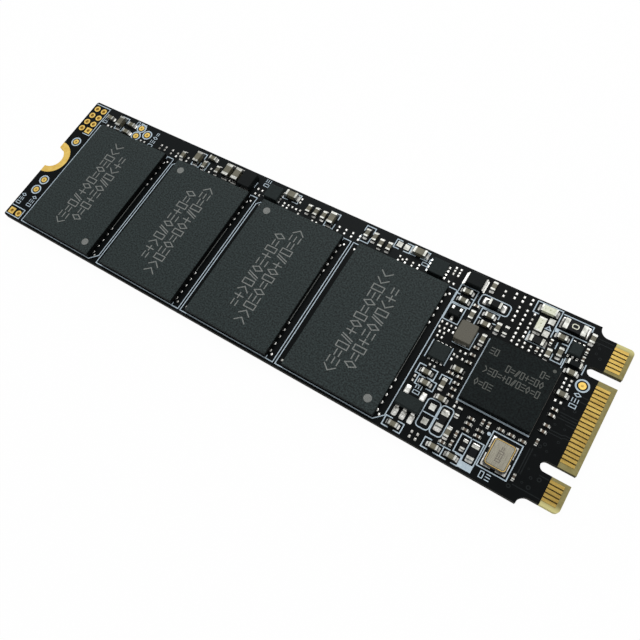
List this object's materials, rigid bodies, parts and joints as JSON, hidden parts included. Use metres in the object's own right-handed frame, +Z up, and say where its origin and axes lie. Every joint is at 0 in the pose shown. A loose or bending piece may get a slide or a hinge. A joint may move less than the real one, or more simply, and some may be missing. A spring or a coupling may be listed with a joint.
{
  "type": "gumstick solid state drive",
  "caption": "Slim circuit-board storage card with a keyed gold edge connector at one end, a half-round screw notch at the other and a row of flat memory packages on its face.",
  "frame": {"origin": "middle of the card's underside, at its bounding box's bottom centre", "axes": "+X along the card from the screw notch to the edge connector, +Y across the card to the edge behind the memory packages, +Z up out of the face with the parts"},
  "size_m": [0.08, 0.022, 0.002],
  "materials": {
    "black_solder_mask": "semi-gloss solder mask over glass-epoxy laminate",
    "gold_plating": "plain gold plating",
    "solder": "bright tin",
    "black_moulding": "fine matt moulding compound",
    "white_ceramic": "ceramic",
    "crystal_metal": "satin",
    "grey_iron_powder": "pressed powder",
    "black_ferrite": "pressed powder",
    "brown_ceramic": "fired ceramic",
    "resistor_glaze": "glazed",
    "led_lens": "clear resin"
  },
  "bodies": {
    "root": {"attachment_ring": "gold_plating", "bare_solder_pads": "solder", "black_inductor_core": "black_ferrite", "black_inductor_terminals": "solder", "circuit_board": "black_solder_mask", "clamp_diode_bodies": "black_moulding", "clamp_diode_ends": "solder", "controller_chip": "black_moulding", "controller_solder_balls": "solder", "crystal_base": "white_ceramic", "crystal_lid": "crystal_metal", "crystal_pads": "solder", "edge_contacts_lower": "gold_plating", "edge_contacts_upper": "gold_plating", "ferrite_bead_bodies": "black_ferrite", "ferrite_bead_ends": "solder", "flash_memory_1": "black_moulding", "flash_memory_2": "black_moulding", "flash_memory_3": "black_moulding", "flash_memory_4": "black_moulding", "grey_inductor_core": "grey_iron_powder", "grey_inductor_terminals": "solder", "header_plating": "gold_plating", "indicator_led_bodies": "led_lens", "indicator_led_ends": "solder", "large_capacitor_bodies": "brown_ceramic", "large_capacitor_ends": "solder", "leadless_chip_1": "black_moulding", "leadless_chip_2": "black_moulding", "leadless_chip_3": "black_moulding", "leadless_chip_pads": "solder", "logic_body": "black_moulding", "logic_leads": "solder", "medium_capacitor_bodies": "brown_ceramic", "medium_capacitor_ends": "solder", "medium_resistor_bodies": "resistor_glaze", "medium_resistor_ends": "solder", "memory_solder_balls": "solder", "rectifier_body": "black_moulding", "rectifier_tabs": "solder", "regulator_body": "black_moulding", "regulator_leads": "solder", "small_capacitor_bodies": "brown_ceramic", "small_capacitor_ends": "solder", "small_resistor_bodies": "resistor_glaze", "small_resistor_ends": "solder", "test_pads": "gold_plating", "tiny_passive_bodies": "brown_ceramic", "tiny_passive_ends": "solder", "transistor_body": "black_moulding", "transistor_leads": "solder", "zero_ohm_link_bodies": "resistor_glaze", "zero_ohm_link_ends": "solder"}
  },
  "joints": []
}
